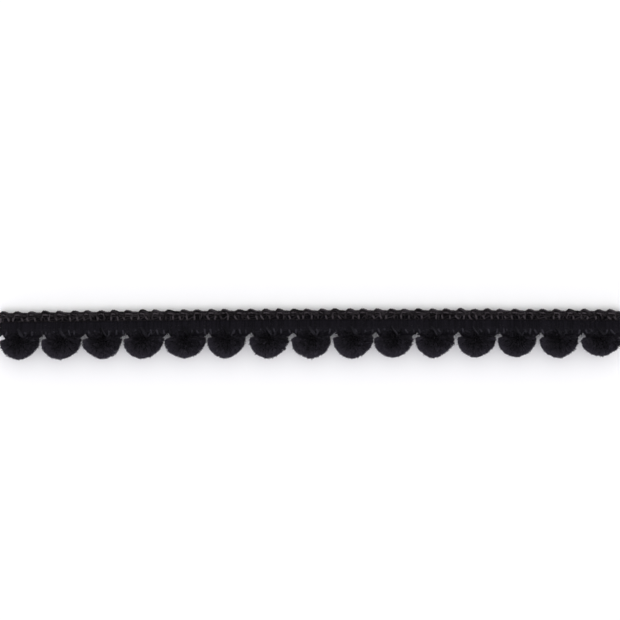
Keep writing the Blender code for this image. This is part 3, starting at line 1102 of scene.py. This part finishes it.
def border_cords(x, chance):
    """The cords along the border, the upper one with a painted highlight where it comes forward at each
    arch.
    """
    wave = np.cos(2 * math.pi * ((x + LENGTH / 2) / SCALLOP_LENGTH - UPPER_PHASE))
    shade = UPPER_PAINTED_SHADE_LEAST + (1 - UPPER_PAINTED_SHADE_LEAST) * np.clip(wave, 0, 1)
    cords = [cord(across, level, yarn, chance) for across, level, yarn in BORDER_CORDS]
    across = (UPPER_ACROSS + UPPER_SWING * wave) * MM
    level = (UPPER_LEVEL + UPPER_SWELL * wave) * MM
    cords.append(cord(across, level, BORDER_UPPER_CORD, chance, shade))
    return cords


def add_border(material):
    """The scalloped border: its row of stitches, the cords along it, and the arches round its edge."""
    chance = np.random.default_rng(BORDER_SEED)
    x = along_trim(CORD_STEP)
    # Painted shade on the arches, darkest on the leg that climbs out of the stitch row
    arch_painted_shade = smooth_step(np.linspace(*ARCH_PAINTED_SHADE_RUN, ARCH_STATIONS))
    arch_painted_shade = ARCH_PAINTED_SHADE_LEAST + (1 - ARCH_PAINTED_SHADE_LEAST) * arch_painted_shade
    batches = stitch_row(BORDER_ROW, chance) + border_cords(x, chance)
    batches.append(spun(crossing_lines(chance), CROSSING_YARN, chance))
    batches.append(spun(arch_lines(0.0, 1.0, chance), OUTER_ARCH_YARN, chance, shade=arch_painted_shade))
    inner = arch_lines(INNER_ARCH_INSET, INNER_ARCH_WIDTH, chance)
    batches.append(spun(inner, INNER_ARCH_YARN, chance, shade=arch_painted_shade))
    for level in RIM_CORD_LEVELS:
        batches.append(cord(scalloped_edge(x) - RIM_CORD_INSET, level, BORDER_RIM_CORD, chance))
    add_piece("scalloped_border", batches, material)


def tie_lines(shape, shift, chance):
    """One strand of every tie, this far beside the first."""
    along, across, level = (np.array(shape) * MM).T
    uneven = (POMPOM_COUNT, len(shape))
    x = MIDDLES[:, None] + along + shift + chance.normal(0, TIE_UNEVEN, uneven)
    side = across + TIE_FAN * shift + chance.normal(0, TIE_UNEVEN, uneven)
    return curve_through(on_braid(x, side, level), TIE_STATIONS)


def add_edge(material):
    """The lower edge: its row of stitches, the cords along it and the pompoms' ties."""
    chance = np.random.default_rng(EDGE_SEED)
    x = along_trim(CORD_STEP)
    batches = stitch_row(EDGE_ROW, chance)
    batches.append(cord(EDGE_HEAD_ACROSS, EDGE_HEAD_LEVEL, EDGE_HEAD_CORD, chance))
    for level in EDGE_CORD_LEVELS:
        batches.append(cord(lower_edge(x) + EDGE_CORD_INSET, level, EDGE_RIM_CORD, chance))
    # Painted highlight and shade along the ties
    from_tie_highlight = np.linspace(*TIE_HIGHLIGHT_RUN, TIE_STATIONS) / TIE_HIGHLIGHT_WIDTH
    painted_crest = TIE_PAINTED_SHADE_TONE + TIE_PAINTED_HIGHLIGHT * np.exp(-(from_tie_highlight ** 2))
    for shape, shift, yarn in TIE_STRANDS:
        batches.append(spun(tie_lines(shape, shift, chance), yarn, chance, TIE_SIDES, painted_crest))
    add_piece("edge_stitches", batches, material)


def add_cut_ends(material):
    """The ends of the braid's yarns, where the trim is cut off square."""
    chance = np.random.default_rng(CUT_END_SEED)
    columns = (np.arange(END_COLUMNS) + 0.5) / END_COLUMNS
    rows = (np.arange(END_ROWS) + 0.6) / END_ROWS
    batches = []
    for side in (-1, 1):
        share = (np.tile(columns, END_ROWS) + chance.normal(0, END_PLACE_UNEVEN, END_COUNT))[:, None]
        level = np.repeat(rows, END_COLUMNS) * MM + chance.normal(0, END_LEVEL_UNEVEN, END_COUNT)
        end = np.tile(side * (LENGTH / 2 + END_REACH), (END_COUNT, 1))
        end[:, 1] += side * chance.uniform(*END_CUT, END_COUNT) * MM
        low = lower_edge(end) + END_INSET_BELOW
        high = scalloped_edge(end) - END_INSET_ABOVE
        lines = on_braid(end, low + (high - low) * share, level[:, None])
        batches.append(spun(lines, CUT_END_YARN, chance, END_SIDES))
    add_piece("cut_yarn_ends", batches, material)


def bent(roots, tips, bend, chance):
    """Lines from roots to tips, each bent a little at its middle."""
    middles = (roots + tips) / 2 + chance.normal(0, bend, roots.shape)
    return np.stack([roots, middles, tips], axis=1)


def gap_hairs(chance):
    """Loose fibres that cross the gaps between neighbouring pompoms, under the braid's edge."""
    middles = np.repeat(MIDDLES[:-1], HAIRS_A_GAP)
    count = len(middles)
    x = middles + chance.uniform(*GAP_HAIR_ROOTS, count) * MM
    across = chance.normal(*GAP_HAIR_ACROSS, count) * MM
    height = chance.uniform(*GAP_HAIR_HEIGHTS, count) * MM
    along = chance.normal(*GAP_HAIR_ALONG, count)
    down = chance.normal(*GAP_HAIR_DOWN, count)
    up = chance.normal(*GAP_HAIR_UP, count)
    roots = np.stack([x, across, height], axis=1)
    tips = roots + np.stack([along, down, up], axis=1) * MM
    lines = curve_through(bent(roots, tips, GAP_HAIR_BEND, chance), GAP_HAIR_STATIONS)
    return spun(lines, GAP_HAIR, chance, HAIR_SIDES)


def braid_hairs(chance):
    """Loose fibres that stand off the braid's front."""
    x = within_trim(chance.uniform(-LENGTH / 2, LENGTH / 2, HAIRS))
    share = chance.uniform(0, 1, HAIRS)
    low = lower_edge(x)
    high = scalloped_edge(x) - HAIR_INSET_ABOVE
    roots = on_braid(x, low + HAIR_INSET_BELOW + (high - low) * share, HAIR_LEVEL)
    away = chance.normal(0, 1, (HAIRS, 3))
    away[:, 2] = np.abs(away[:, 2]) * 0.7 + 0.2
    away[:, 1] += 1.2 * (share - 0.5)
    tips = roots + unit(away) * chance.uniform(*HAIR_LENGTHS, HAIRS)[:, None] * MM
    return spun(bent(roots, tips, HAIR_BEND, chance), HAIR, chance, HAIR_SIDES)


def add_hairs(material):
    """Loose fibres that stand off the braid's yarns and cross the gaps below it."""
    chance = np.random.default_rng(HAIR_SEED)
    batches = [braid_hairs(chance), gap_hairs(chance)]
    add_piece("loose_fibres", batches, material)


def add_floor():
    """A plain pale surface under the trim."""
    half = FLOOR_SIDE / 2
    outline = ((-half, -half), (half, -half), (half, half), (-half, half))
    corners = [(x, y, FLOOR_HEIGHT) for x, y in outline]
    mesh = bpy.data.meshes.new("floor")
    mesh.from_pydata(corners, [], [(0, 1, 2, 3)])
    material, _, shader = new_material("floor_white")
    shader.inputs["Base Color"].default_value = (0.97, 0.97, 0.97, 1.0)
    shader.inputs["Roughness"].default_value = 1.0
    shader.inputs["Specular IOR Level"].default_value = 0.0
    mesh.materials.append(material)
    floor = bpy.data.objects.new("floor", mesh)
    bpy.context.scene.collection.objects.link(floor)


def add_light():
    """A soft white dome, dimmer overhead, with a brighter patch on the pompoms' side."""
    world = bpy.data.worlds.new("soft_dome")
    world.use_nodes = True
    tree = world.node_tree
    background = tree.nodes["Background"]
    place = tree.nodes.new("ShaderNodeTexCoord")
    split = tree.nodes.new("ShaderNodeSeparateXYZ")
    tree.links.new(place.outputs["Generated"], split.inputs["Vector"])
    heights = ((0.0, grey(DOME_LOW)), (DOME_MIDDLE_AT, grey(DOME_MIDDLE)), (1.0, grey(DOME_OVERHEAD)))
    dome = colour_ramp(tree, split.outputs["Z"], heights)
    toward = tree.nodes.new("ShaderNodeVectorMath")
    toward.operation = "DOT_PRODUCT"
    toward.inputs[1].default_value = SOFT_BOX_TOWARDS
    tree.links.new(place.outputs["Generated"], toward.inputs[0])
    edges = ((SOFT_BOX_STARTS, grey(0.0)), (SOFT_BOX_FULL, SOFT_BOX))
    patch = colour_ramp(tree, toward.outputs["Value"], edges)
    both = tree.nodes.new("ShaderNodeVectorMath")
    both.operation = "ADD"
    tree.links.new(dome, both.inputs[0])
    tree.links.new(patch, both.inputs[1])
    tree.links.new(both.outputs["Vector"], background.inputs["Color"])
    background.inputs["Strength"].default_value = DOME_STRENGTH
    bpy.context.scene.world = world


def add_camera():
    """Straight above the trim, with the scalloped edge at the top of the view."""
    data = bpy.data.cameras.new("camera")
    data.type = "PERSP"
    data.lens = LENS
    data.sensor_width = SENSOR
    data.clip_start = 0.01
    data.clip_end = 10.0
    camera = bpy.data.objects.new("camera", data)
    bpy.context.scene.collection.objects.link(camera)
    camera.location = FRAME_TARGET + Vector((0.0, 0.0, FRAME_WIDTH * LENS / SENSOR))
    bpy.context.scene.camera = camera


def main():
    """The view and the stage, then the braid, layer by layer, and the pompoms."""
    add_camera()
    add_light()
    add_floor()
    border = border_yarn()
    weft = weft_yarn()
    edge = edge_yarn()
    pile = pile_material()
    add_ground(weft)
    add_weft(weft)
    add_back(edge)
    add_border(border)
    add_edge(edge)
    add_cut_ends(edge)
    add_hairs(border)
    for number, tuft in enumerate(TUFTS):
        add_pompom(tuft, number, pile)
    bpy.context.scene.view_settings.view_transform = "Standard"


main()
